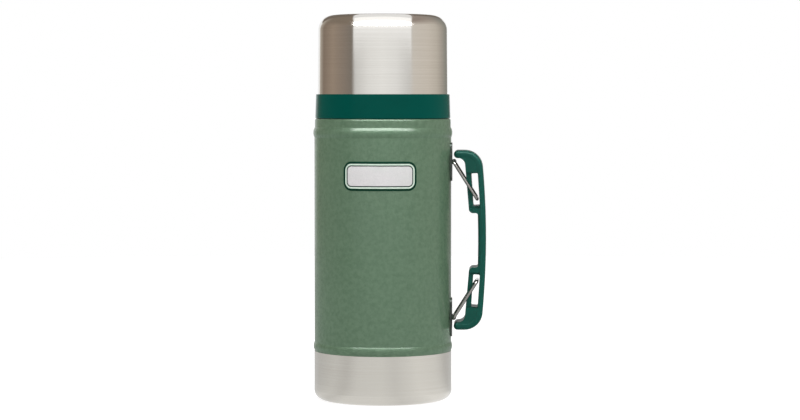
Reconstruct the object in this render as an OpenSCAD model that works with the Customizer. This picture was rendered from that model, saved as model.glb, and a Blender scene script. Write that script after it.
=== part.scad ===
// Insulated food jar: vacuum-walled steel body, screw-on cup lid, screw stopper
// and a side handle that folds flat on two wire bails.
// Frame: millimetres, +Z up, origin at the centre of the foot, handle on +X.

/* [Body] */
// Outside diameter of the painted body
body_d = 98.6; // [96:0.2:104]
// Thickness of the steel sheet of the body, base and liner
sheet = 0.8; // [0.6:0.1:1]
// Height of the shoulder that the lid seals on
shoulder_z = 202.4; // [190:0.1:210]
// Height of the bare steel base cup
base_h = 35.2; // [28:0.1:40]
// How far the two rolled beads stand out from the wall
bead_out = 0.75; // [0.3:0.05:1.2]

/* [Liner and vacuum] */
// Inside diameter of the food liner
liner_d = 74; // [68:0.5:74]
// Height of the liner's lip above the foot
lip_z = 222; // [218:0.1:226]
// Height of the liner's floor above the foot
liner_floor_z = 12; // [12:0.5:20]

/* [Lid] */
// Height of the crown of the lid above the foot
lid_top_z = 277.2; // [270:0.1:290]
// How far the top of the lid's steel wall lies inside the body's wall
lid_in = 2.9; // [2.8:0.1:3.6]
// Radius of the rounded top edge
lid_corner_r = 10.7; // [6:0.1:12]
// Height of the plastic collar
collar_h = 17.3; // [14:0.1:20]

/* [Stopper] */
// Diameter of the plug that goes down into the liner
plug_d = 70; // [62:0.5:70]
// How far the plug reaches down from the lip
plug_depth = 32; // [20:1:40]
// Number of finger flutes round the knob
flutes = 24; // [12:1:32]

/* [Handle] */
// Height of the middle of the handle
handle_z = 115.4; // [110:0.1:120]
// How far the handle's outer face stands out from the body's wall
handle_out = 25.1; // [24:0.1:28]
// Overall height of the handle
handle_h = 128.7; // [128.5:0.1:130.5]
// Width of the handle across the palm
handle_w = 28; // [27:0.5:30]
// Thickness of the handle's rim
rim_t = 5.6; // [5:0.1:6]
// Radius of the long outward bow of the rim
bow_r = 590; // [450:10:700]

/* [Bails and brackets] */
// Diameter of the bail wire
wire_d = 2.2; // [2:0.1:2.4]
// Distance from a bail's pivot to its cross-bar
bail_len = 31.4; // [31:0.1:31.6]
// Angle of a folded bail from the horizontal
bail_fold = 57.6; // [57:0.1:58]
// Distance between the two legs of a bail
bail_span = 26.4; // [26:0.1:27]
// Distance between the two pivots, one in each bracket
pivot_gap = 112; // [111.6:0.1:112.4]

/* [Hidden] */
$fn = 96;

steel = [0.76, 0.75, 0.73];
hammered_green = [0.41, 0.52, 0.44];
dark_green = [0.0, 0.29, 0.25];
grip_green = [0.09, 0.33, 0.30];
black = [0.08, 0.08, 0.09];
clear = 0.05;
over = 1;

body_r = body_d / 2;
band_r = body_r - 0.4;
step_z = base_h + 0.1;
shoulder_r = 3.5;
shoulder_a = 20;
shoulder_edge = 1;
low_bead_z = base_h + 3.4;
low_bead_half = 3;
top_bead_z = shoulder_z - 10.2;
top_bead_half = 3.3;

cup_r = body_r + 0.2;
cup_corner = 7;
skirt_r = cup_r - sheet - 0.1;
skirt_z = cup_corner;
foot_in_r = 36;
foot_lift = 1;

liner_r = liner_d / 2;
liner_corner = 9;
neck_r = liner_r + 2.2;
neck_low_z = shoulder_z - 3.4;

cap_r = skirt_r - sheet - clear;
cap_wall_h = 5.5;
dimple_r = 10;
dimple_h = 3.5;
getter_r = 21;
getter_w = 3.5;
getter_h = 2;
seal_bead_r = 4;

lid_sheet = 0.7;
lid_top_r = body_r - lid_in;
lid_low_r = lid_top_r + 0.5;
lid_low_z = shoulder_z + 3.6;
lid_dome = 0.6;
lid_corner_z = lid_top_z - lid_dome - lid_corner_r;
collar_z = shoulder_z + 0.2;
collar_top_z = collar_z + collar_h;
collar_r = body_r - 0.7;
collar_in_r = neck_r + 2.2;
collar_wall = 2.2;
collar_web = 2.5;
collar_channel_r = lid_low_r + 0.25;
collar_taper = 0.5;
collar_edge = 0.6;
cup_z = collar_top_z + 1;
cup_wall = 1.8;
cup_in_r = collar_in_r + 0.4;
cup_roof_z = lid_top_z - 4.7;
cup_in_corner = 6.7;
seal_in_r = collar_channel_r - 3.25;
seal_w = 2.3;
seal_h = 1.3;

plug_r = plug_d / 2;
plug_wall = 1.8;
plug_top_z = lip_z + 2;
plug_low_z = lip_z - plug_depth;
flange_r = neck_r + 0.1;
flange_h = 3;
knob_r = 31;
knob_h = 14;
knob_top = 2.4;
knob_wall = 4;
flute_r = 2.2;
knob_edge = 1.6;
knob_dish = 1;
face_seal_w = 2.6;

edge_r = 2.2;
corner_r = 13;
bow_x = body_r + handle_out - bow_r;
arc_dz = handle_h / 2 - corner_r;
corner_a = asin(arc_dz / (bow_r - corner_r));
corner_x = bow_x + (bow_r - corner_r) * cos(corner_a);
nose_r = rim_t / 2;
nose_x = body_r + 4.85;
arm_dz = handle_h / 2 - nose_r;
// a corner runs into the bow and the arm a hair smaller than they are
lap_a = 1;
lap_trim = 0.02;
hook_fillet = 5;
hook_dz = handle_h / 2 - rim_t - hook_fillet + 0.15;
face_lean = 4.84;
face_x = body_r + 14.72;
block_w = handle_w - 0.6;
block_dz = 19.5;
heel_r = 3;
heel_fillet = 1.6;
slot_lean = 3.79;
slot_x = body_r + 18.35;
slot_w = 4.7;
slot_low_dz = 24.6;
slot_top_dz = 48;
slot_corner = 0.9;
pocket_w = 22.8;
pocket_top_dz = 48.6;
pocket_low_dz = 23;

wire_r = wire_d / 2;
pivot_x = body_r + 1.9;
pin_gap = 1.2;
bend_r = 2;
knuckle_r = 1.8;
knuckle_w = 13;
plate_w = 15;
plate_h = 27.4;
plate_t = 0.8;
plate_corner = 3;
bore_clear = 0.05;

// ---------- shared flat shapes ----------

// Centred rectangle with round corners
module soft_rect(w, h, r) {
    square([w - 2 * r, h], center = true);
    square([w, h - 2 * r], center = true);
    for (x = [-1, 1], y = [-1, 1])
        translate([x * (w / 2 - r), y * (h / 2 - r)])
            circle(r);
}

// Half section of a solid can from z0 to z1; low and top round its outer corners
module can_half(r, z0, z1, low = 0, top = 0) {
    translate([0, z0 + low])
        square([r, z1 - z0 - low - top]);
    if (low > 0) {
        translate([0, z0])
            square([r - low, low + over]);
        translate([r - low, z0 + low])
            circle(low);
    }
    if (top > 0) {
        translate([0, z1 - top - over])
            square([r - top, top + over]);
        translate([r - top, z1 - top])
            circle(top);
    }
}

// Half section of a flat ring
module ring_half(r_in, r_out, z0, z1) {
    translate([r_in, z0])
        square([r_out - r_in, z1 - z0]);
}

// Disc whose rim makes a rolled bead that stands `out` from a wall of radius r, cut off just under the bead
module bead_half(r, z, half, out, inset) {
    roll = (half * half + out * out) / (2 * out);
    low_z = z - half - 0.2 + inset;
    intersection() {
        translate([r + out - roll, z])
            circle(roll - inset);
        translate([0, low_z])
            square([r + out + over, 2 * roll]);
    }
}

// Centred rectangle whose corners are rounded in flat steps of 22.5 degrees
module eased_rect(w, h, r) {
    polygon([
        for (q = [[1, 1, 0], [-1, 1, 90], [-1, -1, 180], [1, -1, 270]], a = [0 : 22.5 : 90])
            [q[0] * (w / 2 - r) + r * cos(q[2] + a), q[1] * (h / 2 - r) + r * sin(q[2] + a)]
    ]);
}

// ---------- body ----------

// Band above the upper bead: it leans in on a long round, then turns over a tight one to the flat shoulder
module shoulder_half(inset) {
    edge_h = (shoulder_r - shoulder_edge) * sin(shoulder_a);
    x = band_r - shoulder_r;
    z = shoulder_z - shoulder_edge - edge_h;
    edge_x = x + (shoulder_r - shoulder_edge) * cos(shoulder_a);
    edge_a = (90 - shoulder_a) / 7;
    polygon([
        [0, top_bead_z],
        [band_r - inset, top_bead_z],
        for (i = [0 : 8])
            [x + (shoulder_r - inset) * cos(i * shoulder_a / 8),
             z + (shoulder_r - inset) * sin(i * shoulder_a / 8)],
        for (i = [1 : 7])
            [edge_x + (shoulder_edge - inset) * cos(shoulder_a + i * edge_a),
             z + edge_h + (shoulder_edge - inset) * sin(shoulder_a + i * edge_a)],
        [0, shoulder_z - inset]
    ]);
}

// Solid half section of the body, inset by a sheet thickness for its inside
module shell_half(inset) {
    translate([0, skirt_z - inset])
        square([skirt_r - inset, step_z - skirt_z + 2 * inset]);
    translate([0, step_z + inset])
        square([body_r - inset, top_bead_z - step_z - inset]);
    shoulder_half(inset);
    bead_half(body_r, low_bead_z, low_bead_half, bead_out, inset);
    bead_half(body_r, top_bead_z, top_bead_half, bead_out, inset);
}

// Painted steel wall, with its rolled beads, shoulder and the joggled skirt in the base cup
module outer_shell() {
    color(hammered_green)
        rotate_extrude()
            difference() {
                shell_half(0);
                shell_half(sheet);
                square([neck_r + clear, shoulder_z + over]);
            }
}

// Bare steel cup pushed over the skirt, standing on a pressed foot ring
module base_cup() {
    color(steel)
        rotate_extrude()
            difference() {
                can_half(cup_r, 0, base_h, low = cup_corner);
                difference() {
                    can_half(cup_r - sheet, sheet, base_h + over, low = cup_corner - sheet);
                    square([foot_in_r, foot_lift + sheet]);
                }
                square([foot_in_r - sheet, foot_lift]);
            }
}

// Food liner: deep-drawn steel cup with a turned-out lip
module inner_liner() {
    color(steel)
        rotate_extrude() {
            difference() {
                can_half(liner_r + sheet, liner_floor_z - sheet, lip_z, low = liner_corner + sheet);
                can_half(liner_r, liner_floor_z, lip_z + over, low = liner_corner);
            }
            ring_half(liner_r + sheet / 2, neck_r, lip_z - sheet, lip_z);
        }
}

// Steel neck between the shoulder and the lip; the lid screws on it
module neck_sleeve() {
    color(steel)
        rotate_extrude()
            ring_half(neck_r - sheet, neck_r, neck_low_z, lip_z - sheet);
}

// Pressed cap that closes the vacuum space under the liner
module end_cap() {
    color(steel)
        rotate_extrude() {
            ring_half(dimple_r, cap_r, skirt_z, skirt_z + sheet);
            ring_half(cap_r - sheet, cap_r, skirt_z, skirt_z + cap_wall_h);
            ring_half(dimple_r, dimple_r + sheet, skirt_z, skirt_z + dimple_h);
            ring_half(0, dimple_r + sheet, skirt_z + dimple_h - sheet, skirt_z + dimple_h);
        }
}

// Ring of gas-absorbing metal that keeps the vacuum, on the cap's upper side
module getter() {
    color([0.55, 0.56, 0.58])
        rotate_extrude()
            translate([getter_r, skirt_z + sheet + getter_h / 2])
                soft_rect(getter_w, getter_h, 0.6);
}

// Bead that seals the pumping hole, inside the cap's dimple
module vacuum_seal() {
    color([0.45, 0.43, 0.40])
        rotate_extrude()
            difference() {
                translate([0, skirt_z + dimple_h - sheet])
                    circle(seal_bead_r);
                translate([0, skirt_z + dimple_h - sheet])
                    square([seal_bead_r + over, seal_bead_r + over]);
                translate([-seal_bead_r - over, skirt_z - seal_bead_r])
                    square([seal_bead_r + over, 3 * seal_bead_r]);
                square([seal_bead_r + over, skirt_z + dimple_h - sheet - 1.5]);
            }
}

// ---------- lid ----------

// Solid half section of the lid's steel shell, inset for its inside
module lid_half(inset) {
    top_r = lid_top_r - inset;
    low_r = lid_low_r - inset;
    corner = lid_corner_r - inset;
    low_z = lid_low_z - (inset > 0 ? over : 0);
    flat_r = top_r - corner;
    dome_r = (flat_r * flat_r + lid_dome * lid_dome) / (2 * lid_dome);
    polygon([[0, low_z], [low_r, low_z], [top_r, lid_corner_z], [0, lid_corner_z]]);
    translate([flat_r, lid_corner_z])
        circle(corner);
    translate([0, lid_corner_z - over])
        square([flat_r, corner + over]);
    intersection() {
        translate([0, lid_corner_z])
            square([flat_r, corner + lid_dome]);
        translate([0, lid_corner_z + corner + lid_dome - dome_r])
            circle(dome_r, $fn = 720);
    }
}

// Brushed steel cup: slightly tapered wall, large round edge, faintly domed crown
module lid_shell() {
    color(steel)
        rotate_extrude()
            difference() {
                lid_half(0);
                lid_half(lid_sheet);
            }
}

// Plastic lining that makes the lid a drinking or serving cup
module lid_liner() {
    color(black)
        rotate_extrude()
            difference() {
                can_half(cup_in_r + cup_wall, cup_z, cup_roof_z + cup_wall, top = cup_in_corner + cup_wall);
                can_half(cup_in_r, cup_z - over, cup_roof_z, top = cup_in_corner);
            }
}

// Collar: tapered skirt with soft edges, web with a seal groove, inner wall that screws on the neck
module lid_collar() {
    low_r = collar_r - collar_edge;
    top_r = low_r - collar_taper;
    color(dark_green)
        rotate_extrude()
            difference() {
                union() {
                    polygon([
                        [collar_channel_r, collar_z],
                        for (a = [-90 : 22.5 : 0])
                            [low_r + collar_edge * cos(a), collar_z + collar_edge * (1 + sin(a))],
                        for (a = [0 : 22.5 : 90])
                            [top_r + collar_edge * cos(a), collar_top_z - collar_edge * (1 - sin(a))],
                        [collar_channel_r, collar_top_z]
                    ]);
                    ring_half(collar_in_r, collar_channel_r + clear, collar_z, collar_z + collar_web);
                    ring_half(collar_in_r, collar_in_r + collar_wall, collar_z, cup_z);
                }
                ring_half(seal_in_r - 0.1, seal_in_r + seal_w + 0.1, collar_z - over, shoulder_z + seal_h);
            }
}

// Soft ring in the collar's groove that bears on the shoulder
module lid_seal() {
    color(black)
        rotate_extrude()
            translate([seal_in_r + seal_w / 2, shoulder_z + seal_h / 2])
                soft_rect(seal_w, seal_h, 0.4);
}

// ---------- stopper ----------

// Knob and flange moulded in one: fluted for the fingers, hollow inside
module stopper_cap() {
    knob_z = plug_top_z + flange_h;
    knob_top_z = knob_z + knob_h;
    rim_r = knob_r - knob_wall;
    color(dark_green)
        difference() {
            rotate_extrude()
                difference() {
                    union() {
                        can_half(flange_r, plug_top_z, knob_z, top = 0.8);
                        polygon([
                            [0, knob_z - over],
                            [knob_r, knob_z - over],
                            [knob_r, knob_top_z - knob_edge],
                            [knob_r - knob_edge, knob_top_z],
                            [0, knob_top_z]
                        ]);
                    }
                    can_half(rim_r, plug_top_z - over, knob_top_z - knob_top, top = 2);
                    translate([0, knob_top_z - knob_dish])
                        square([rim_r, knob_dish + over]);
                }
            for (i = [0 : flutes - 1])
                rotate(360 * i / flutes)
                    translate([knob_r + flute_r / 2, 0, knob_z])
                        cylinder(r = flute_r, h = knob_h + over, $fn = 32);
        }
}

// Hollow plug that screws into the liner's mouth
module stopper_plug() {
    color(dark_green)
        rotate_extrude()
            difference() {
                can_half(plug_r, plug_low_z, plug_top_z, low = 3);
                can_half(plug_r - plug_wall, plug_low_z + plug_wall, plug_top_z + over, low = 1.2);
            }
}

// Insulating foam that fills the plug
module stopper_foam() {
    color([0.93, 0.90, 0.80])
        rotate_extrude()
            can_half(plug_r - plug_wall - 0.1, plug_low_z + plug_wall, plug_top_z, low = 1.4);
}

// Soft face ring between the stopper's flange and the liner's lip
module stopper_seal() {
    color([0.85, 0.85, 0.82])
        rotate_extrude()
            translate([neck_r - face_seal_w / 2, lip_z + (plug_top_z - lip_z) / 2])
                soft_rect(face_seal_w, plug_top_z - lip_z, 0.5);
}

// ---------- handle: drawn in its side view, x outward and y up from its middle ----------

// Turns the side view upright, to the handle's place on the jar
module in_side_view() {
    translate([0, 0, handle_z])
        rotate([90, 0, 0])
            children();
}

// Section of the rim, with its outer face at x = 0
module rim_section(trim = 0) {
    translate([-rim_t / 2, 0])
        eased_rect(rim_t - 2 * trim, handle_w - 2 * trim, edge_r);
}

// Upper corner, arm and round nose of the rim
module rim_end() {
    translate([corner_x, arc_dz, 0])
        rotate_extrude(angle = 90 - corner_a + 2 * lap_a, start = corner_a - lap_a)
            translate([corner_r, 0])
                rim_section(lap_trim);
    translate([nose_x, handle_h / 2, 0])
        rotate([90, 0, 90])
            linear_extrude(corner_x - nose_x)
                rim_section();
    translate([nose_x, arm_dz, 0])
        rotate_extrude(angle = 180, start = 90)
            intersection() {
                eased_rect(2 * nose_r, handle_w, edge_r);
                translate([0, -handle_w / 2])
                    square([nose_r, handle_w]);
            }
}

// End block: its inner face leans, curves out under the arm and ends in a rounded heel and a fillet
module block() {
    lean = tan(face_lean);
    turn = 90 - face_lean;
    hook_x = face_x - hook_dz * lean - hook_fillet / cos(face_lean);
    heel_z = block_dz + heel_r;
    heel_x = face_x - heel_z * lean + heel_r / cos(face_lean);
    rim_mid_r = corner_r - rim_t / 2;
    rim_x = bow_x + sqrt(pow(bow_r - rim_t, 2) - pow(block_dz, 2));
    foot_x = rim_x + 0.15;
    foot_z = block_dz - heel_fillet;
    linear_extrude(block_w, center = true)
        polygon([
            for (i = [0 : 12])
                [hook_x + hook_fillet * cos(face_lean + i * turn / 12),
                 hook_dz + hook_fillet * sin(face_lean + i * turn / 12)],
            [hook_x, arm_dz],
            for (a = [90 : -22.5 : 0])
                [corner_x + rim_mid_r * cos(a), arc_dz + rim_mid_r * sin(a)],
            [rim_x + rim_t / 2, foot_z],
            for (a = [0 : 15 : 90])
                [foot_x - heel_fillet * (1 - cos(a)), foot_z + heel_fillet * sin(a)],
            for (i = [0 : 8])
                [heel_x + heel_r * cos(270 - i * turn / 8),
                 heel_z + heel_r * sin(270 - i * turn / 8)]
        ]);
}

// Window that the bail's cross-bar slides in
module slot() {
    mid = (slot_low_dz + slot_top_dz) / 2;
    translate([slot_x - (mid - slot_low_dz) * tan(slot_lean), mid, -handle_w / 2 - over])
        rotate([0, 0, slot_lean])
            linear_extrude(handle_w + 2 * over)
                soft_rect(slot_w, slot_top_dz - slot_low_dz, slot_corner);
}

// Pockets in both sides, where the bail's legs lie when folded
module pockets() {
    lean = tan(slot_lean);
    edge = slot_x + slot_w / 2 / cos(slot_lean);
    for (side = [-1, 1])
        translate([0, 0, side * (pocket_w / 2 + handle_w / 2)])
            linear_extrude(handle_w, center = true)
                polygon([
                    [nose_x, pocket_low_dz],
                    [edge - (pocket_low_dz - slot_low_dz) * lean, pocket_low_dz],
                    [edge - (pocket_top_dz - slot_low_dz) * lean, pocket_top_dz],
                    [nose_x, pocket_top_dz]
                ]);
}

// Moulded handle: one bowed rim with a hooked, slotted block at each end
module grip() {
    color(grip_green)
        in_side_view()
            difference() {
                union() {
                    translate([bow_x, 0, 0])
                        rotate_extrude(angle = 2 * corner_a, start = -corner_a, $fn = 720)
                            translate([bow_r, 0])
                                rim_section();
                    for (end = [0, 1])
                        mirror([0, end, 0]) {
                            rim_end();
                            block();
                        }
                }
                for (end = [0, 1])
                    mirror([0, end, 0]) {
                        slot();
                        pockets();
                    }
            }
}

// ---------- bails and brackets ----------

// One bent wire: pins on the pivot axis, a leg down each side, and the cross-bar
module bail(fold) {
    half = bail_span / 2;
    rotate([0, fold, 0])
        for (side = [0, 1])
            mirror([0, side, 0]) {
                translate([0, half - bend_r, 0])
                    rotate([90, 0, 0])
                        cylinder(r = wire_r, h = half - bend_r - pin_gap / 2);
                translate([bend_r, half - bend_r, 0])
                    rotate_extrude(angle = 90, start = 90)
                        translate([bend_r, 0])
                            circle(wire_r);
                translate([bend_r, half, 0])
                    rotate([0, 90, 0])
                        cylinder(r = wire_r, h = bail_len - 2 * bend_r);
                translate([bail_len - bend_r, half - bend_r, 0])
                    rotate_extrude(angle = 90, start = 0)
                        translate([bend_r, 0])
                            circle(wire_r);
                translate([bail_len, half - bend_r, 0])
                    rotate([90, 0, 0])
                        cylinder(r = wire_r, h = half - bend_r);
            }
}

// Curved plate welded to the wall, with the rolled knuckle that holds the bail's pins
module bracket() {
    difference() {
        union() {
            intersection() {
                difference() {
                    cylinder(r = body_r + clear + plate_t, h = plate_h + over, center = true, $fn = 360);
                    cylinder(r = body_r + clear, h = plate_h + 2 * over, center = true, $fn = 360);
                }
                rotate([90, 0, 90])
                    linear_extrude(2 * body_r)
                        soft_rect(plate_w, plate_h, plate_corner);
            }
            translate([pivot_x, 0, 0])
                rotate([90, 0, 0])
                    cylinder(r = knuckle_r, h = knuckle_w, center = true);
        }
        translate([pivot_x, 0, 0])
            rotate([90, 0, 0])
                cylinder(r = wire_r + bore_clear, h = knuckle_w + 2 * over, center = true);
    }
}

module upper_bracket() {
    color(steel)
        translate([0, 0, handle_z + pivot_gap / 2])
            bracket();
}

module lower_bracket() {
    color(steel)
        translate([0, 0, handle_z - pivot_gap / 2])
            bracket();
}

module upper_bail() {
    color(steel)
        translate([pivot_x, 0, handle_z + pivot_gap / 2])
            bail(bail_fold);
}

module lower_bail() {
    color(steel)
        translate([pivot_x, 0, handle_z - pivot_gap / 2])
            bail(-bail_fold);
}

outer_shell();
base_cup();
inner_liner();
neck_sleeve();
end_cap();
getter();
vacuum_seal();
upper_bracket();
lower_bracket();
lid_shell();
lid_liner();
lid_collar();
lid_seal();
stopper_cap();
stopper_plug();
stopper_foam();
stopper_seal();
grip();
upper_bail();
lower_bail();
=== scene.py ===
"""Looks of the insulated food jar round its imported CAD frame: materials, badge, screw threads, studio, camera."""
import math

import bmesh
import bpy
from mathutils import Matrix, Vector


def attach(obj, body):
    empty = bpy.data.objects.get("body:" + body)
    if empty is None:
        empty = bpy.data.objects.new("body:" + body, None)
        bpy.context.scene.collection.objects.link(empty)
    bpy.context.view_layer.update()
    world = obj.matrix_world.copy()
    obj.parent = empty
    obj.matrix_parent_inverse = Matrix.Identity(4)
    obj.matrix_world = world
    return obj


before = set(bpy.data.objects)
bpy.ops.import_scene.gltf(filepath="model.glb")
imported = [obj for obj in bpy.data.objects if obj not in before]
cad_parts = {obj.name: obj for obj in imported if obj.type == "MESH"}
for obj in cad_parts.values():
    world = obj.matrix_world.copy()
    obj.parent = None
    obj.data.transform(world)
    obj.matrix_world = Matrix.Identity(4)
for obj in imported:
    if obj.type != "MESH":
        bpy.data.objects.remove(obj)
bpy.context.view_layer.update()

MM = 0.001
WHITE = (1, 1, 1, 1)

# The photograph is 800 by 420 pixels, at 1386 pixels a metre at the jar's axis, 17 pixels left of its middle.
PHOTO_W = 800
SCALE_PX_PER_M = 1386
AXIS_OFFSET_PX = 17.1
CAMERA_AZIMUTH = math.radians(2.7)
CAMERA_DISTANCE = 1.75
CAMERA_HEIGHT = 0.22
AIM_HEIGHT = 0.1364
SENSOR_MM = 36
FARTHEST_SEEN = 50

# Badge on the wall, at -Y; BODY_R is the painted wall's outer radius in the CAD, and sharp angles are in degrees.
BODY_R = 49.3 * MM
BADGE_Z = 162.3 * MM
BADGE_W = 53.8 * MM
BADGE_H = 20.6 * MM
BADGE_CORNER = 6.3 * MM
BADGE_SHARP = 38
# Its section: mm in from the edge, mm out from the wall, and the material up to the next step.
BADGE_STEPS = [
    (0.0, -0.02, "badge_edge"),
    (0.0, 0.22, "badge_edge"),
    (0.12, 0.32, "badge_edge"),
    (1.6, 0.36, "badge_rim"),
    (1.75, 0.47, "badge_rim"),
    (2.0, 0.52, "badge_rim"),
    (2.4, 0.52, "badge_rim"),
    (2.65, 0.42, "badge_line"),
    (2.8, 0.36, "badge_line"),
    (3.45, 0.36, "badge_face"),
    (3.6, 0.42, "badge_face"),
    (3.85, 0.44, "badge_face"),
]
BADGE_MATERIALS = ["badge_edge", "badge_rim", "badge_line", "badge_face"]

# Screw threads: the leads are those of the lid's and the stopper's coupled joints.
LID_LEAD = 15 * MM
LID_STARTS = 3
STOPPER_LEAD = 16 * MM
STOPPER_STARTS = 4
# Each has its body and slot, the radii in mm of the wall it grows out of, its root and its crest, its height
# range in mm, its widths in mm at root and crest, and the angle it starts at. A thread starts half a pitch
# away from the one it runs in, and a little higher or lower.
THREADS = {
    "neck_thread": dict(body="jar", slot="drawn_steel", radii=(38.9, 39.2, 40.6), heights=(206.5, 219.5),
                        widths=(2.2, 1.2), lead=LID_LEAD, starts=LID_STARTS, phase=0.0),
    "collar_thread": dict(body="lid", slot="collar_plastic", radii=(41.7, 41.4, 39.9), heights=(205.5, 218.0),
                          widths=(1.9, 1.1), lead=LID_LEAD, starts=LID_STARTS,
                          phase=math.pi / LID_STARTS - 2 * math.pi * 1.0 * MM / LID_LEAD),
    "stopper_thread": dict(body="stopper", slot="stopper_plastic", radii=(34.7, 35.0, 36.4),
                           heights=(199.0, 215.0), widths=(1.7, 0.9), lead=STOPPER_LEAD, starts=STOPPER_STARTS,
                           phase=0.0),
    "liner_thread": dict(body="jar", slot="drawn_steel", radii=(37.3, 37.0, 35.8), heights=(201.0, 217.0),
                         widths=(1.7, 0.9), lead=STOPPER_LEAD, starts=STOPPER_STARTS,
                         phase=math.pi / STOPPER_STARTS + 2 * math.pi * 2.0 * MM / STOPPER_LEAD),
}
THREAD_STEP = math.radians(4)
THREAD_LEAST_STEPS = 24
THREAD_FADE = 0.09          # share of the length over which a ridge rises and ends
THREAD_END_RISE = 0.02      # what is left of the ridge's height at its very ends
THREAD_END_WIDTH = 0.4      # and of its width
THREAD_SHARP = 40

# The handle's edges that are sharper than this, in degrees, stay sharp.
GRIP_SHARP = 35

# Studio: a round floor, and a dome of cards that only reflections see. Azimuths and elevations are in degrees;
# azimuth 0 is -Y, the camera's side, and grows towards +X.
FLOOR_R = 1.55
PAPER = (0.8, 0.8, 0.79, 1)
PAPER_SEEN = (0.5, 0.5, 0.5, 1)
PAPER_GLOW = 0.68
FLOOR_RING_R = 0.0435
FLOOR_RING_Z = 0.0004
DOME_R = 3.0
DOME_Z = 0.25
LEFT_FRONT = -46.5
RIGHT_FRONT = 50
LEFT_EDGE = -147
RIGHT_EDGE = 164
CARD_LOW = -8.5
CARD_TOP = 88
FRONT_TOP = 20
BACK_LOW = 14
FRONT_EDGE = (0.72, 0.715, 0.7)

# The overhead panel's lowest row (y, z, left side, right side), and the arch that it ends in.
PANEL_FOOT = (-0.66, 0.285, -0.781, 0.888)
ARCH_Y = 0.3
ARCH_Z = 0.6
ARCH_DEPTH = 0.96
ARCH_RISE = 1.05
ARCH_STEP = 5
ARCH_ROWS = 33
# A side of the arch is at middle + swing * cos(turn - lag).
ARCH_LEFT = (-0.438, -0.481, 35)
ARCH_RIGHT = (0.435, 0.566, 27)
# Its light, over ranges of the slope at which the jar sees it and of y.
BRIGHT_LEVEL = 18.0
SOFT_SLOPES, SOFT_LEVELS = (0.03, 0.12), (1.06, 1.19)
BRIGHT_SLOPES, BRIGHT_LEVELS = (0.38, 0.52), (0.0, BRIGHT_LEVEL)
OVER_Y, OVER_LEVELS = (-0.6, -0.48), (BRIGHT_LEVEL, 1.35)
BEHIND_Y, BEHIND_LEVELS = (0.0, 0.3), (BRIGHT_LEVEL, 1.0)

WORLD_COLOUR = (1, 0.995, 0.98, 1)
WORLD_LEVEL = 0.72
LAMP_SIZE = (1.2, 1.1)
LAMP_AIM = (0, 0, 0.13)
LAMPS = {"key": ((-1.95, -0.95, 1.2), 23), "fill": ((1.9, -1.05, 1.1), 29)}


# ---------- helpers ----------

def srgb(red, green, blue):
    """A colour given in display values from 0 to 255, as the linear colour that a shader takes."""
    def linear(value):
        value /= 255
        return value / 12.92 if value <= 0.04045 else ((value + 0.055) / 1.055) ** 2.4
    return (linear(red), linear(green), linear(blue), 1)


def node(tree, kind, inputs=None, **settings):
    """Adds a node; an input is a value, or the output socket that feeds it."""
    made = tree.nodes.new(kind)
    for key, value in settings.items():
        setattr(made, key, value)
    for key, value in (inputs or {}).items():
        give(tree, made.inputs[key], value)
    return made


def give(tree, socket, value):
    """Links an output socket to an input socket, or sets it to a plain value."""
    if isinstance(value, bpy.types.NodeSocket):
        tree.links.new(value, socket)
    else:
        socket.default_value = value


def feed(tree, shader, **values):
    """Sets or links the Principled shader's sockets; underscores in a name stand for spaces."""
    for key, value in values.items():
        give(tree, shader.inputs[key.replace("_", " ")], value)


def math_node(tree, operation, first, second=0.0):
    return node(tree, "ShaderNodeMath", {0: first, 1: second}, operation=operation).outputs[0]


def spread(tree, value, source, target):
    """Maps a value from one range to another, clamped."""
    (low, high), (to_low, to_high) = source, target
    return node(tree, "ShaderNodeMapRange", {0: value, 1: low, 2: high, 3: to_low, 4: to_high}).outputs[0]


def blend_colour(tree, factor, first, second):
    made = node(tree, "ShaderNodeMix", data_type="RGBA")
    for socket, value in ((0, factor), (6, first), (7, second)):
        give(tree, made.inputs[socket], value)
    return made.outputs[2]


def mottle(tree, value, first, second, over=(0.3, 0.7), most=1.0):
    """Blends one colour into another as a value goes over a range; most is the share that is reached."""
    return blend_colour(tree, spread(tree, value, over, (0.0, most)), first, second)


def noise(tree, vector, scale, detail=3.0, roughness=0.5):
    return node(tree, "ShaderNodeTexNoise", {"Vector": vector, "Scale": scale, "Detail": detail,
                                             "Roughness": roughness}).outputs["Fac"]


def place(tree):
    """Position on the object, in metres."""
    return node(tree, "ShaderNodeTexCoord").outputs["Object"]


def split(tree, vector):
    return node(tree, "ShaderNodeSeparateXYZ", {0: vector}).outputs


def length(tree, vector):
    return node(tree, "ShaderNodeVectorMath", {0: vector}, operation="LENGTH").outputs["Value"]


def off_axis(tree, parts):
    """Distance from the jar's axis."""
    return length(tree, node(tree, "ShaderNodeCombineXYZ", {0: parts["X"], 1: parts["Y"], 2: 0.0}).outputs[0])


def bump(tree, height, strength, distance):
    return node(tree, "ShaderNodeBump", {"Height": height, "Strength": strength,
                                         "Distance": distance}).outputs["Normal"]


def material(name, build):
    """A material whose Principled shader is set up by build(tree, shader)."""
    made = bpy.data.materials.new(name)
    made.use_nodes = True
    tree = made.node_tree
    build(tree, tree.nodes["Principled BSDF"])
    return made


def empty_material(name):
    """A material and its node tree with nothing in it."""
    made = bpy.data.materials.new(name)
    made.use_nodes = True
    made.node_tree.nodes.clear()
    return made, made.node_tree


# ---------- materials ----------

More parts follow.
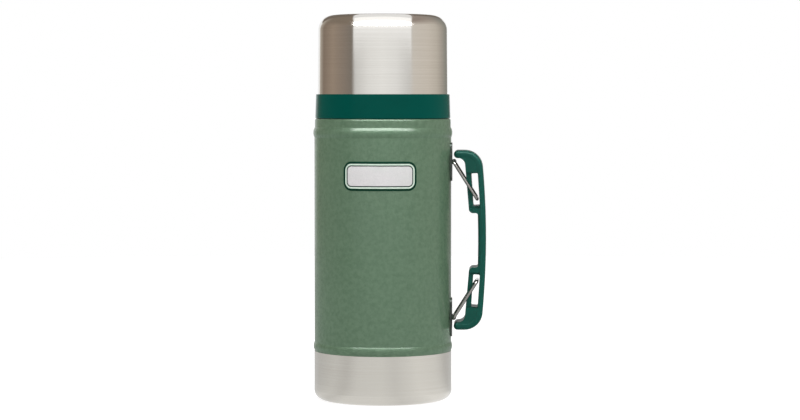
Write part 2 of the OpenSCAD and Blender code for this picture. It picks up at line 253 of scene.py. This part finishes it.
def hammered_paint(tree, shader):
    """Grey-green hammertone enamel: shallow dimples about 2 mm across under a satin coat."""
    at = place(tree)
    # cells about 1/620 m wide, with borders bent by up to about a millimetre
    warp = node(tree, "ShaderNodeTexNoise", {"Vector": at, "Scale": 320.0, "Detail": 2.0}).outputs["Color"]
    shift = node(tree, "ShaderNodeVectorMath", {0: warp, 1: (0.5, 0.5, 0.5)}, operation="SUBTRACT").outputs[0]
    small = node(tree, "ShaderNodeVectorMath", {0: shift, "Scale": 0.0024}, operation="SCALE").outputs[0]
    bent = node(tree, "ShaderNodeVectorMath", {0: at, 1: small}, operation="ADD").outputs[0]
    cells = node(tree, "ShaderNodeTexVoronoi", {"Vector": bent, "Scale": 620.0, "Smoothness": 0.6},
                 feature="SMOOTH_F1").outputs["Distance"]
    # 0 on the dimples' crowns, 1 in the valleys between them
    valley = spread(tree, cells, (0.35, 0.75), (0.0, 1.0))
    patches = noise(tree, at, 330.0, roughness=0.55)
    clouds = noise(tree, at, 14.0, detail=2.0)
    green = mottle(tree, patches, srgb(80, 105, 83), srgb(89, 113, 91), over=(0.35, 0.65))
    green = mottle(tree, clouds, green, srgb(86, 107, 89), most=0.3)
    # the colour goes darker in the valleys between the dimples, less where the patches are pale
    valley_darkening = math_node(tree, "MULTIPLY", valley, spread(tree, patches, (0.4, 0.6), (0.9, 0.2)))
    green = blend_colour(tree, math_node(tree, "MULTIPLY", valley_darkening, 0.3), green, srgb(66, 90, 70))
    relief = math_node(tree, "SUBTRACT", math_node(tree, "MULTIPLY", patches, 0.5), valley)
    feed(tree, shader, Base_Color=green, Metallic=0.1, Coat_Weight=0.5, Coat_Roughness=0.19,
         Specular_IOR_Level=0.05, Roughness=spread(tree, valley, (0.0, 1.0), (0.34, 0.5)),
         Normal=bump(tree, relief, 0.2, 0.00025))


def steel(pale, dark, rough, stretch, slope, turned=0.3):
    """Brushed stainless steel, with fine lines round the jar's axis: a high stretch makes them fine.
    slope says how the radius joins in: -1 where the surface turns in towards a crown, 1 where it turns in
    towards a foot, 0 on a straight wall. turned is how far the reflections are drawn out across the lines."""
    def build(tree, shader):
        at = place(tree)
        parts = split(tree, at)
        radius = off_axis(tree, parts)
        along = math_node(tree, "ADD", parts["Z"], math_node(tree, "MULTIPLY", radius, slope))
        lines = node(tree, "ShaderNodeCombineXYZ", {
            0: math_node(tree, "MULTIPLY", parts["X"], 9.0),
            1: math_node(tree, "MULTIPLY", parts["Y"], 9.0),
            2: math_node(tree, "MULTIPLY", along, stretch)}).outputs[0]
        fine = noise(tree, lines, 1.0, detail=4.0, roughness=0.7)
        broad = noise(tree, at, 16.0)
        scratch = spread(tree, fine, (0.32, 0.68), (0.0, 1.0))
        colour = blend_colour(tree, scratch, dark, pale)
        colour = mottle(tree, broad, colour, dark, over=(0.35, 0.65), most=0.16)
        gloss = math_node(tree, "ADD", spread(tree, scratch, (0.0, 1.0), (rough[1], rough[0])),
                          spread(tree, broad, (0.3, 0.7), (-0.02, 0.03)))
        feed(tree, shader, Base_Color=colour, Metallic=1.0, Roughness=gloss, Anisotropic=turned,
             Anisotropic_Rotation=0.25, Normal=bump(tree, fine, 0.05, 0.0001))
    return build


def plastic(base, dark, rough, level, grain, relief):
    """Moulded plastic: slow colour drift, fine grain in the gloss and a shallow orange-peel surface."""
    def build(tree, shader):
        at = place(tree)
        drift = noise(tree, at, 22.0)
        fine = noise(tree, at, grain, roughness=0.6)
        colour = mottle(tree, drift, base, dark)
        feed(tree, shader, Base_Color=colour, Roughness=spread(tree, fine, (0.3, 0.7), rough),
             Specular_IOR_Level=level, Normal=bump(tree, fine, relief, 0.00012))
    return build


def rubber(base, dusty):
    """Soft matt rubber with a little dust on it."""
    def build(tree, shader):
        at = place(tree)
        dust = noise(tree, at, 180.0, detail=5.0, roughness=0.7)
        fine = noise(tree, at, 2400.0, detail=2.0)
        colour = mottle(tree, dust, base, dusty, over=(0.35, 0.7))
        feed(tree, shader, Base_Color=colour, Roughness=spread(tree, dust, (0.3, 0.7), (0.6, 0.78)),
             Specular_IOR_Level=0.3, Normal=bump(tree, fine, 0.2, 0.00006))
    return build


def polished_wire(tree, shader):
    """Bright drawn wire, with faint draw marks that come and go."""
    at = place(tree)
    marks = noise(tree, at, 900.0, detail=4.0, roughness=0.7)
    haze = noise(tree, at, 90.0)
    colour = mottle(tree, marks, srgb(138, 136, 134), srgb(156, 154, 151), over=(0.35, 0.65))
    rough = math_node(tree, "ADD", spread(tree, haze, (0.3, 0.7), (0.08, 0.15)),
                      spread(tree, marks, (0.3, 0.7), (0.0, 0.05)))
    feed(tree, shader, Base_Color=colour, Metallic=1.0, Roughness=rough, Normal=bump(tree, marks, 0.03, 0.00004))


def rigid_foam(tree, shader):
    at = place(tree)
    cells = node(tree, "ShaderNodeTexVoronoi", {"Vector": at, "Scale": 1100.0}, feature="F1").outputs["Distance"]
    drift = noise(tree, at, 60.0)
    colour = mottle(tree, drift, srgb(247, 241, 224), srgb(232, 220, 192))
    feed(tree, shader, Base_Color=colour, Roughness=0.9, Specular_IOR_Level=0.2,
         Normal=bump(tree, cells, 0.5, 0.0003))


def silicone(tree, shader):
    at = place(tree)
    drift = noise(tree, at, 120.0)
    fine = noise(tree, at, 1800.0, detail=2.0)
    colour = mottle(tree, drift, srgb(236, 236, 232), srgb(220, 221, 216))
    feed(tree, shader, Base_Color=colour, Roughness=spread(tree, fine, (0.3, 0.7), (0.38, 0.5)),
         Subsurface_Weight=0.2, Subsurface_Radius=(0.002, 0.002, 0.0015), Subsurface_Scale=0.6,
         Normal=bump(tree, fine, 0.1, 0.00005))


def sealing_glass(tree, shader):
    at = place(tree)
    drift = noise(tree, at, 500.0, detail=4.0, roughness=0.65)
    colour = mottle(tree, drift, srgb(176, 170, 160), srgb(142, 135, 126))
    feed(tree, shader, Base_Color=colour, Roughness=spread(tree, drift, (0.3, 0.7), (0.25, 0.45)),
         Normal=bump(tree, drift, 0.3, 0.0002))


def getter_metal(tree, shader):
    at = place(tree)
    grains = noise(tree, at, 1500.0, detail=4.0, roughness=0.7)
    colour = mottle(tree, grains, srgb(150, 152, 156), srgb(190, 192, 196))
    feed(tree, shader, Base_Color=colour, Metallic=0.8, Roughness=spread(tree, grains, (0.3, 0.7), (0.55, 0.75)),
         Normal=bump(tree, grains, 0.4, 0.0002))


def badge_face(tree, shader):
    """Silver-grey blank face of the badge, with a fine grained finish."""
    at = place(tree)
    grains = noise(tree, at, 1300.0, detail=4.0, roughness=0.7)
    drift = noise(tree, at, 70.0)
    colour = mottle(tree, grains, srgb(186, 184, 186), srgb(204, 201, 203))
    colour = mottle(tree, drift, colour, srgb(180, 186, 182), over=(0.35, 0.65), most=0.3)
    feed(tree, shader, Base_Color=colour, Metallic=0.05, Roughness=spread(tree, grains, (0.3, 0.7), (0.45, 0.6)),
         Specular_IOR_Level=0.1, Normal=bump(tree, grains, 0.12, 0.00008))


def badge_paint(base, dark):
    """Baked paint on the badge's edge, rim and line."""
    def build(tree, shader):
        at = place(tree)
        drift = noise(tree, at, 400.0, roughness=0.6)
        colour = mottle(tree, drift, base, dark)
        feed(tree, shader, Base_Color=colour, Roughness=spread(tree, drift, (0.3, 0.7), (0.3, 0.42)),
             Specular_IOR_Level=0.04, Normal=bump(tree, drift, 0.08, 0.00005))
    return build


BUILDERS = {
    "hammered_paint": hammered_paint,
    "lid_steel": steel(srgb(228, 226, 222), srgb(217, 214, 209), rough=(0.07, 0.1), stretch=3200.0, slope=-1.0),
    "base_steel": steel(srgb(220, 217, 209), srgb(215, 211, 203), rough=(0.13, 0.17), stretch=2600.0, slope=1.0),
    "drawn_steel": steel(srgb(214, 212, 208), srgb(198, 196, 192), rough=(0.28, 0.36), stretch=700.0, slope=0.0,
                         turned=0.4),
    # the brackets are coloured a dark grey-green, far darker than bare steel
    "bracket_steel": steel(srgb(78, 84, 80), srgb(62, 68, 64), rough=(0.32, 0.42), stretch=900.0, slope=0.0,
                           turned=0.0),
    "getter_metal": getter_metal,
    "seal_glass": sealing_glass,
    "cup_plastic": plastic(srgb(44, 47, 48), srgb(34, 37, 38), rough=(0.26, 0.36), level=0.5, grain=1500.0,
                           relief=0.08),
    "collar_plastic": plastic(srgb(0, 70, 62), srgb(0, 66, 58), rough=(0.14, 0.2), level=0.04, grain=1200.0,
                              relief=0.06),
    "stopper_plastic": plastic(srgb(20, 84, 75), srgb(12, 74, 66), rough=(0.42, 0.54), level=0.4, grain=1600.0,
                               relief=0.12),
    "grip_plastic": plastic(srgb(6, 72, 62), srgb(2, 66, 56), rough=(0.34, 0.42), level=0.12, grain=1500.0,
                            relief=0.12),
    "seal_rubber": rubber(srgb(38, 38, 38), srgb(58, 58, 57)),
    "seal_silicone": silicone,
    "foam": rigid_foam,
    "polished_wire": polished_wire,
    "badge_face": badge_face,
    "badge_rim": badge_paint(srgb(206, 222, 209), srgb(190, 209, 195)),
    "badge_line": badge_paint(srgb(38, 56, 48), srgb(28, 44, 38)),
    "badge_edge": badge_paint(srgb(0, 48, 32), srgb(0, 40, 26)),
}
MATERIALS = {name: material(name, build) for name, build in BUILDERS.items()}

NODE_MATERIAL = {
    "outer_shell": "hammered_paint",
    "base_cup": "base_steel",
    "inner_liner": "drawn_steel",
    "neck_sleeve": "drawn_steel",
    "end_cap": "drawn_steel",
    "getter": "getter_metal",
    "vacuum_seal": "seal_glass",
    "upper_bracket": "bracket_steel",
    "lower_bracket": "bracket_steel",
    "lid_shell": "lid_steel",
    "lid_liner": "cup_plastic",
    "lid_collar": "collar_plastic",
    "lid_seal": "seal_rubber",
    "stopper_cap": "stopper_plastic",
    "stopper_plug": "stopper_plastic",
    "stopper_foam": "foam",
    "stopper_seal": "seal_silicone",
    "grip": "grip_plastic",
    "upper_bail": "polished_wire",
    "lower_bail": "polished_wire",
}


def dress_nodes():
    for name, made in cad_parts.items():
        made.data.materials.clear()
        made.data.materials.append(MATERIALS[NODE_MATERIAL[name]])


# ---------- pieces ----------

def put_in_scene(name, data):
    made = bpy.data.objects.new(name, data)
    bpy.context.scene.collection.objects.link(made)
    return made


def plain_mesh(name, vertices, faces, materials):
    mesh = bpy.data.meshes.new(name)
    mesh.from_pydata(vertices, [], faces)
    for made in materials:
        mesh.materials.append(made)
    return mesh


def new_piece(name, vertices, faces, materials, sharp, indices=None):
    """A closed piece with outward faces, shaded round except over edges sharper than sharp, in degrees."""
    mesh = plain_mesh(name, vertices, faces, materials)
    if indices:
        mesh.polygons.foreach_set("material_index", indices)
    mesh.polygons.foreach_set("use_smooth", [True] * len(mesh.polygons))
    mesh.update()
    made = bmesh.new()
    made.from_mesh(mesh)
    bmesh.ops.recalc_face_normals(made, faces=made.faces)
    for edge in made.edges:
        edge.smooth = len(edge.link_faces) == 2 and edge.calc_face_angle() < math.radians(sharp)
    made.to_mesh(mesh)
    made.free()
    return put_in_scene(name, mesh)


def soft_loop(width, height, radius, arc_steps=10):
    """Points round a rectangle with round corners, counterclockwise, as (across, up)."""
    points = []
    for quarter, (x, y) in enumerate(((1, 1), (-1, 1), (-1, -1), (1, -1))):
        for step in range(arc_steps + 1):
            angle = math.pi / 2 * (quarter + step / arc_steps)
            points.append((x * (width / 2 - radius) + radius * math.cos(angle),
                           y * (height / 2 - radius) + radius * math.sin(angle)))
    return points


def filled_loop(points, spacing=1.0 * MM):
    """Adds points along the long level stretches, so that a badge can follow the round wall."""
    full = []
    for first, second in zip(points, points[1:] + points[:1]):
        level = abs(first[1] - second[1]) < 1e-9
        count = max(1, round(abs(first[0] - second[0]) / spacing)) if level else 1
        full += [(first[0] + (second[0] - first[0]) * i / count, first[1]) if count > 1 else first
                 for i in range(count)]
    return full


def badge():
    """Thin blank plate on the wall: dark green edge, raised pale rim, dark line, grained face."""
    def on_wall(across, up, out):
        angle = across / BODY_R
        radius = BODY_R + out
        return (radius * math.sin(angle), -radius * math.cos(angle), BADGE_Z + up)
    base = filled_loop(soft_loop(BADGE_W, BADGE_H, BADGE_CORNER))
    core_w, core_h = BADGE_W / 2 - BADGE_CORNER, BADGE_H / 2 - BADGE_CORNER
    vertices, faces, indices = [], [], []
    for inset, out, _ in BADGE_STEPS:
        shrink = (BADGE_CORNER - inset * MM) / BADGE_CORNER
        for across, up in base:
            cx = max(-core_w, min(core_w, across))
            cy = max(-core_h, min(core_h, up))
            vertices.append(on_wall(cx + (across - cx) * shrink, cy + (up - cy) * shrink, out * MM))
    count = len(base)
    for row, (_, _, paint) in enumerate(BADGE_STEPS[:-1]):
        for i in range(count):
            j = (i + 1) % count
            faces.append((row * count + i, row * count + j, (row + 1) * count + j, (row + 1) * count + i))
            indices.append(BADGE_MATERIALS.index(paint))
    # the face and the back: straight columns from each point of a loop's upper half to the one below it
    last = (len(BADGE_STEPS) - 1) * count
    for i in range(count // 2 - 1):
        below = count - 1 - i
        faces.append((last + i, last + i + 1, last + below - 1, last + below))
        indices.append(BADGE_MATERIALS.index("badge_face"))
        faces.append((i, below, below - 1, i + 1))
        indices.append(BADGE_MATERIALS.index("badge_edge"))
    piece = new_piece("badge", vertices, faces, [MATERIALS[n] for n in BADGE_MATERIALS], BADGE_SHARP, indices)
    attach(piece, "jar")


def ridge_section(radii, widths, ease):
    """Section of a ridge as (radius, height) points; ease is 1 at full height and 0 at its ends."""
    wall_r, root_r, full_r = radii
    width_share = THREAD_END_WIDTH + (1 - THREAD_END_WIDTH) * ease
    half_root, half_crest = widths[0] / 2 * width_share, widths[1] / 2 * width_share
    crest_r = root_r + (full_r - root_r) * max(ease, THREAD_END_RISE)
    # a small rounding between the flank and the crest
    edge_r = root_r + (crest_r - root_r) * 0.82
    half_edge = half_crest + (half_root - half_crest) * 0.12
    half_flat = half_crest * 0.8
    low_side = [(wall_r, -half_root), (root_r, -half_root), (edge_r, -half_edge), (crest_r, -half_flat)]
    return low_side + [(radius, -z) for radius, z in reversed(low_side)]


def thread(name, body, slot, radii, heights, widths, lead, starts, phase):
    """Helical ridges of a screw thread, fading out at both ends. The first radius lies just inside the wall's
    material, so that the ridges grow out of it."""
    radii, widths = [radius * MM for radius in radii], [width * MM for width in widths]
    z_low, z_high = heights[0] * MM, heights[1] * MM
    turn = 2 * math.pi * (z_high - z_low) / lead
    steps = max(THREAD_LEAST_STEPS, round(turn / THREAD_STEP))
    vertices, faces = [], []
    for start in range(starts):
        first = len(vertices)
        for i in range(steps + 1):
            t = i / steps
            ease = math.sin(min(1.0, t / THREAD_FADE, (1 - t) / THREAD_FADE) * math.pi / 2)
            angle = phase + 2 * math.pi * start / starts + turn * t
            z = z_low + (z_high - z_low) * t
            section = ridge_section(radii, widths, ease)
            vertices += [(r * math.cos(angle), r * math.sin(angle), z + dz) for r, dz in section]
        size = len(section)
        for i in range(steps):
            for j in range(size):
                a, b = first + i * size + j, first + i * size + (j + 1) % size
                faces.append((a, b, b + size, a + size))
        faces.append(tuple(range(first, first + size)))
        end = first + steps * size
        faces.append(tuple(reversed(range(end, end + size))))
    piece = new_piece(name, vertices, faces, [MATERIALS[slot]], THREAD_SHARP)
    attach(piece, body)


def soften_grip():
    """Shades the moulded handle's stepped edges round, while its flat sides stay flat."""
    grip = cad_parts["grip"]
    group = bpy.data.node_groups.new("shade_by_angle", "GeometryNodeTree")
    group.interface.new_socket("Geometry", in_out="INPUT", socket_type="NodeSocketGeometry")
    group.interface.new_socket("Geometry", in_out="OUTPUT", socket_type="NodeSocketGeometry")
    start = node(group, "NodeGroupInput")
    merged = node(group, "GeometryNodeMergeByDistance", {"Geometry": start.outputs[0], "Distance": 1e-6})
    plain = node(group, "GeometryNodeRemoveAttribute", {"Geometry": merged.outputs[0], "Name": "custom_normal"})
    smooth = node(group, "GeometryNodeSetShadeSmooth", {"Geometry": plain.outputs[0], "Shade Smooth": True},
                  domain="FACE")
    angle = node(group, "GeometryNodeInputMeshEdgeAngle")
    sharp = node(group, "FunctionNodeCompare",
                 {"A": angle.outputs["Unsigned Angle"], "B": math.radians(GRIP_SHARP)},
                 data_type="FLOAT", operation="GREATER_THAN")
    creased = node(group, "GeometryNodeSetShadeSmooth",
                   {"Geometry": smooth.outputs[0], "Selection": sharp.outputs[0], "Shade Smooth": False},
                   domain="EDGE")
    node(group, "NodeGroupOutput", {0: creased.outputs[0]})
    shade = grip.modifiers.new("shade_by_angle", "NODES")
    shade.node_group = group
    weighted = grip.modifiers.new("weighted_normals", "WEIGHTED_NORMAL")
    weighted.keep_sharp = True


# ---------- studio and camera ----------

def is_seen(tree):
    """1 for rays from the camera and for what metal or glass shows, else 0."""
    path = node(tree, "ShaderNodeLightPath").outputs
    some = math_node(tree, "MAXIMUM", path["Is Camera Ray"], path["Is Glossy Ray"])
    return math_node(tree, "MAXIMUM", some, path["Is Transmission Ray"])


def white_world():
    world = bpy.data.worlds.new("studio")
    bpy.context.scene.world = world
    world.use_nodes = True
    tree = world.node_tree
    tree.nodes.clear()
    seen = node(tree, "ShaderNodeBackground", {"Color": WHITE, "Strength": 1.0})
    light = node(tree, "ShaderNodeBackground", {"Color": WORLD_COLOUR, "Strength": WORLD_LEVEL})
    mixed = node(tree, "ShaderNodeMixShader", {0: is_seen(tree), 1: light.outputs[0], 2: seen.outputs[0]})
    node(tree, "ShaderNodeOutputWorld", {"Surface": mixed.outputs[0]})


def pale_floor():
    """White paper that keeps the jar's shadow: half of what is seen of it is its own glow."""
    made = bmesh.new()
    bmesh.ops.create_circle(made, cap_ends=True, radius=FLOOR_R, segments=96)
    mesh = bpy.data.meshes.new("floor")
    made.to_mesh(mesh)
    made.free()
    floor = put_in_scene("floor", mesh)
    paper, tree = empty_material("paper")
    lit = node(tree, "ShaderNodeBsdfDiffuse", {"Color": PAPER})
    half = node(tree, "ShaderNodeBsdfDiffuse", {"Color": PAPER_SEEN})
    glow = node(tree, "ShaderNodeEmission", {"Color": WHITE, "Strength": PAPER_GLOW})
    white = node(tree, "ShaderNodeAddShader", {0: half.outputs[0], 1: glow.outputs[0]})
    mixed = node(tree, "ShaderNodeMixShader", {0: is_seen(tree), 1: lit.outputs[0], 2: white.outputs[0]})
    node(tree, "ShaderNodeOutputMaterial", {"Surface": mixed.outputs[0]})
    mesh.materials.append(paper)


def only_reflected(name, vertices, faces, build):
    """A glowing sheet of the studio that only reflections see."""
    paint, tree = empty_material(name)
    colour, strength = build(tree)
    glow = node(tree, "ShaderNodeEmission", {"Color": colour, "Strength": strength})
    node(tree, "ShaderNodeOutputMaterial", {"Surface": glow.outputs[0]})
    made = put_in_scene(name, plain_mesh(name, vertices, faces, [paint]))
    made.visible_camera = False
    made.visible_diffuse = False
    made.visible_shadow = False
    made.visible_transmission = False


def card(name, azimuths, elevations, build):
    """Part of a dome round the jar, from azimuth and elevation ranges in degrees."""
    across, up = 24, 16
    vertices, faces = [], []
    for i in range(across + 1):
        for j in range(up + 1):
            a = math.radians(azimuths[0] + (azimuths[1] - azimuths[0]) * i / across)
            e = math.radians(elevations[0] + (elevations[1] - elevations[0]) * j / up)
            vertices.append((DOME_R * math.sin(a) * math.cos(e), -DOME_R * math.cos(a) * math.cos(e),
                             DOME_Z + DOME_R * math.sin(e)))
    for i in range(across):
        for j in range(up):
            a = i * (up + 1) + j
            faces.append((a, a + 1, a + up + 2, a + up + 1))
    only_reflected(name, vertices, faces, build)


def ring(name, radii, z, build):
    """A flat ring round the jar."""
    count = 64
    vertices = [(radius * math.cos(2 * math.pi * i / count), radius * math.sin(2 * math.pi * i / count), z)
                for i in range(count) for radius in radii]
    faces = [(2 * i, 2 * i + 1, (2 * i + 3) % (2 * count), (2 * i + 2) % (2 * count)) for i in range(count)]
    only_reflected(name, vertices, faces, build)


def tent(name, build):
    """A sheet that goes straight up in front of the jar and then in an arch over it, narrower towards the back,
    so that its sides show as upright lines in the lid's round corner."""
    def side(turn, middle, swing, lag):
        return middle + swing * math.cos(turn - math.radians(lag))
    rows = [PANEL_FOOT]
    for step in range(ARCH_ROWS):
        turn = math.radians(ARCH_STEP * step)
        rows.append((ARCH_Y - ARCH_DEPTH * math.cos(turn), ARCH_Z + ARCH_RISE * math.sin(turn),
                     side(turn, *ARCH_LEFT), side(turn, *ARCH_RIGHT)))
    vertices = [(x, y, z) for y, z, left, right in rows for x in (left, right)]
    faces = [(2 * i, 2 * i + 1, 2 * i + 3, 2 * i + 2) for i in range(len(rows) - 1)]
    only_reflected(name, vertices, faces, build)


def ramp(tree, value, stops):
    """A colour ramp over (place, red, green, blue) stops."""
    made = node(tree, "ShaderNodeValToRGB", {0: value})
    elements = made.color_ramp.elements
    while len(elements) < len(stops):
        elements.new(0.5)
    for element, (where, *colour) in zip(elements, stops):
        element.position = where
        element.color = (*colour, 1)
    return made.outputs[0]


def azimuth(tree):
    """Azimuth of a point of the dome, in degrees."""
    parts = split(tree, place(tree))
    back = math_node(tree, "MULTIPLY", parts["Y"], -1.0)
    return math_node(tree, "MULTIPLY", math_node(tree, "ARCTAN2", parts["X"], back), 180 / math.pi)


def height(tree):
    return split(tree, place(tree))["Z"]


def left_card(tree):
    """Warm dark flag on the left: darkest beside the front light and high up."""
    along = spread(tree, azimuth(tree), (LEFT_FRONT, LEFT_EDGE), (0.0, 1.0))
    colour = ramp(tree, along, [(0.0, *FRONT_EDGE), (0.07, 0.24, 0.21, 0.18), (0.2, 0.29, 0.24, 0.2),
                                (0.5, 0.38, 0.3, 0.235), (0.8, 0.27, 0.21, 0.165), (1.0, 0.56, 0.51, 0.44)])
    return mottle(tree, height(tree), colour, (0.26, 0.21, 0.165, 1), over=(1.1, 2.0)), 1.0


def right_card(tree):
    """Beige card on the right: paler beside the front light and low down."""
    along = spread(tree, azimuth(tree), (RIGHT_FRONT, RIGHT_EDGE), (0.0, 1.0))
    colour = ramp(tree, along, [(0.0, *FRONT_EDGE), (0.08, 0.74, 0.69, 0.63), (0.35, 0.72, 0.66, 0.59),
                                (0.55, 0.62, 0.57, 0.5), (0.7, 0.46, 0.42, 0.37), (0.84, 0.33, 0.32, 0.28),
                                (1.0, 0.25, 0.24, 0.22)])
    return mottle(tree, height(tree), colour, (0.37, 0.31, 0.27, 1), over=(1.5, 2.6)), 1.0


def front_card(tree):
    """White in front, a little greyer towards both sides."""
    along = spread(tree, azimuth(tree), (LEFT_FRONT, RIGHT_FRONT), (0.0, 1.0))
    return ramp(tree, along, [(0.0, *FRONT_EDGE), (0.25, 0.93, 0.93, 0.915), (0.5, 1, 1, 0.985),
                              (0.75, 0.93, 0.93, 0.92), (1.0, *FRONT_EDGE)]), 1.0


def floor_card(tree):
    """The floor as the metal shows it: whiter close to the jar, and greyer at the sides and behind."""
    stops = [(-180, 0.6), (-115, 0.62), (-97, 0.67), (-77, 0.73), (-55, 0.66), (-35, 0.77), (0, 0.78),
             (20, 0.71), (56, 0.89), (90, 0.84), (100, 0.79), (120, 0.62), (180, 0.6)]
    round_jar = ramp(tree, spread(tree, azimuth(tree), (-180.0, 180.0), (0.0, 1.0)),
                     [((angle + 180) / 360, level, level, level) for angle, level in stops])
    return round_jar, spread(tree, length(tree, place(tree)), (0.06, 0.15), (1.1, 1.0))


def high_card(tree):
    """Dim brown of the room, high up behind."""
    return (0.2, 0.165, 0.135, 1), 1.0


def top_card(tree):
    """Overhead panel: a soft white low down, very bright higher up in front of the jar, and white over it."""
    parts = split(tree, place(tree))
    away = off_axis(tree, parts)
    slope = math_node(tree, "DIVIDE", math_node(tree, "SUBTRACT", parts["Z"], DOME_Z), away)
    soft = spread(tree, slope, SOFT_SLOPES, SOFT_LEVELS)
    bright = spread(tree, slope, BRIGHT_SLOPES, BRIGHT_LEVELS)
    front = math_node(tree, "MAXIMUM", soft, bright)
    over = spread(tree, parts["Y"], OVER_Y, OVER_LEVELS)
    behind = spread(tree, parts["Y"], BEHIND_Y, BEHIND_LEVELS)
    return WHITE, math_node(tree, "MINIMUM", front, math_node(tree, "MINIMUM", over, behind))


def lamp(name, spot, power):
    light = bpy.data.lights.new(name, "AREA")
    light.shape = "RECTANGLE"
    light.size, light.size_y = LAMP_SIZE
    light.energy = power
    made = put_in_scene(name, light)
    made.location = spot
    made.rotation_euler = (Vector(LAMP_AIM) - Vector(spot)).to_track_quat("-Z", "Y").to_euler()
    made.visible_camera = False
    made.visible_glossy = False


def studio():
    white_world()
    pale_floor()
    ring("floor_card", (FLOOR_RING_R, FLOOR_R), FLOOR_RING_Z, floor_card)
    card("left_flag", (LEFT_EDGE, LEFT_FRONT), (CARD_LOW, CARD_TOP), left_card)
    card("right_flag", (RIGHT_FRONT, RIGHT_EDGE), (CARD_LOW, CARD_TOP), right_card)
    card("front_card", (LEFT_FRONT, RIGHT_FRONT), (CARD_LOW, FRONT_TOP), front_card)
    card("back_flag", (RIGHT_EDGE, 360 + LEFT_EDGE), (BACK_LOW, CARD_TOP), high_card)
    tent("top_panel", top_card)
    for name, (spot, power) in LAMPS.items():
        lamp(name, spot, power)


def camera():
    """The photograph's view: a long lens a little above the jar, turned slightly towards the handle."""
    data = bpy.data.cameras.new("camera")
    made = put_in_scene("camera", data)
    eye = Vector((CAMERA_DISTANCE * math.sin(CAMERA_AZIMUTH), -CAMERA_DISTANCE * math.cos(CAMERA_AZIMUTH),
                  CAMERA_HEIGHT))
    right = Vector((math.cos(CAMERA_AZIMUTH), math.sin(CAMERA_AZIMUTH), 0))
    aim = right * (AXIS_OFFSET_PX / SCALE_PX_PER_M) + Vector((0, 0, AIM_HEIGHT))
    made.location = eye
    made.rotation_euler = (aim - eye).to_track_quat("-Z", "Y").to_euler()
    data.sensor_width = SENSOR_MM
    data.lens = SENSOR_MM * SCALE_PX_PER_M * (aim - eye).length / PHOTO_W
    data.clip_end = FARTHEST_SEEN
    bpy.context.scene.camera = made


camera()
studio()
dress_nodes()
soften_grip()
badge()
for thread_name, values in THREADS.items():
    thread(thread_name, **values)

bpy.context.scene.view_settings.view_transform = "Standard"
bpy.context.view_layer.update()
